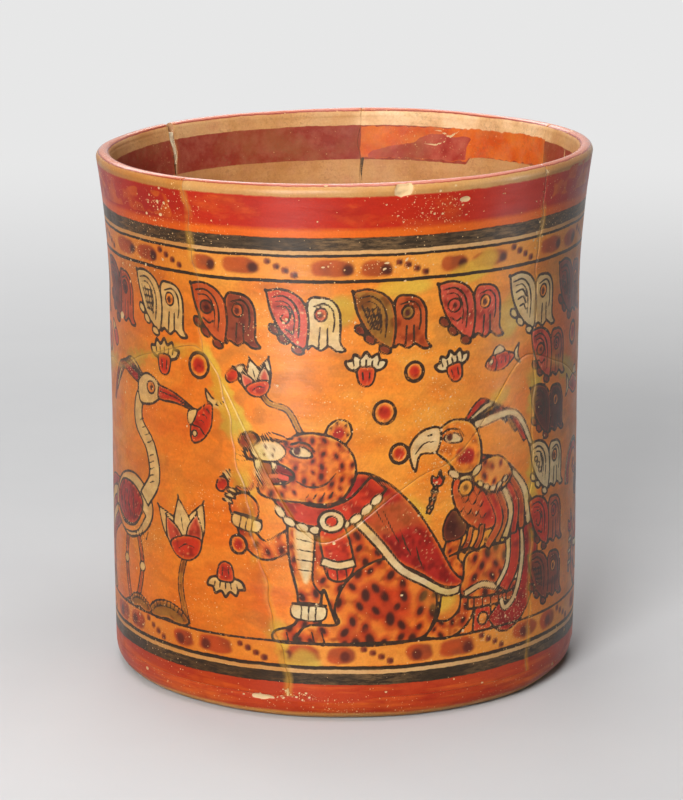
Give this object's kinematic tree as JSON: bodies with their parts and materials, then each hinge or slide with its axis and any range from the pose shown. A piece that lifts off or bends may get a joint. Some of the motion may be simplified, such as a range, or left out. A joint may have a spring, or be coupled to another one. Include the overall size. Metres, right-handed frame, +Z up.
{
  "type": "painted ceramic cylinder vase",
  "caption": "Wide straight-sided painted clay vase with a gently flared lip and a flat base, mended from its sherds with narrow bonded joins and a plaster strip in an open crack.",
  "frame": {"origin": "centre of the flat underside, on the surface that the vase stands on", "axes": "+Z up the vase's axis, +X to the right and -Y towards the viewer at the painted front"},
  "size_m": [0.17, 0.17, 0.1823],
  "materials": {
    "painted_slip": "burnished",
    "red_slip": "burnished",
    "plaster": "matte"
  },
  "bodies": {
    "root": {"upper_front_sherd": "painted_slip", "upper_right_sherd": "painted_slip", "upper_right_sliver": "painted_slip", "upper_back_sherd": "painted_slip", "upper_left_back_sherd": "painted_slip", "upper_left_sherd": "painted_slip", "lower_front_sherd": "painted_slip", "lower_right_sherd": "painted_slip", "lower_back_sherd": "painted_slip", "lower_left_back_sherd": "painted_slip", "lower_left_sherd": "painted_slip", "base_slab": "red_slip", "plaster_crack_fill": "plaster"}
  },
  "joints": []
}
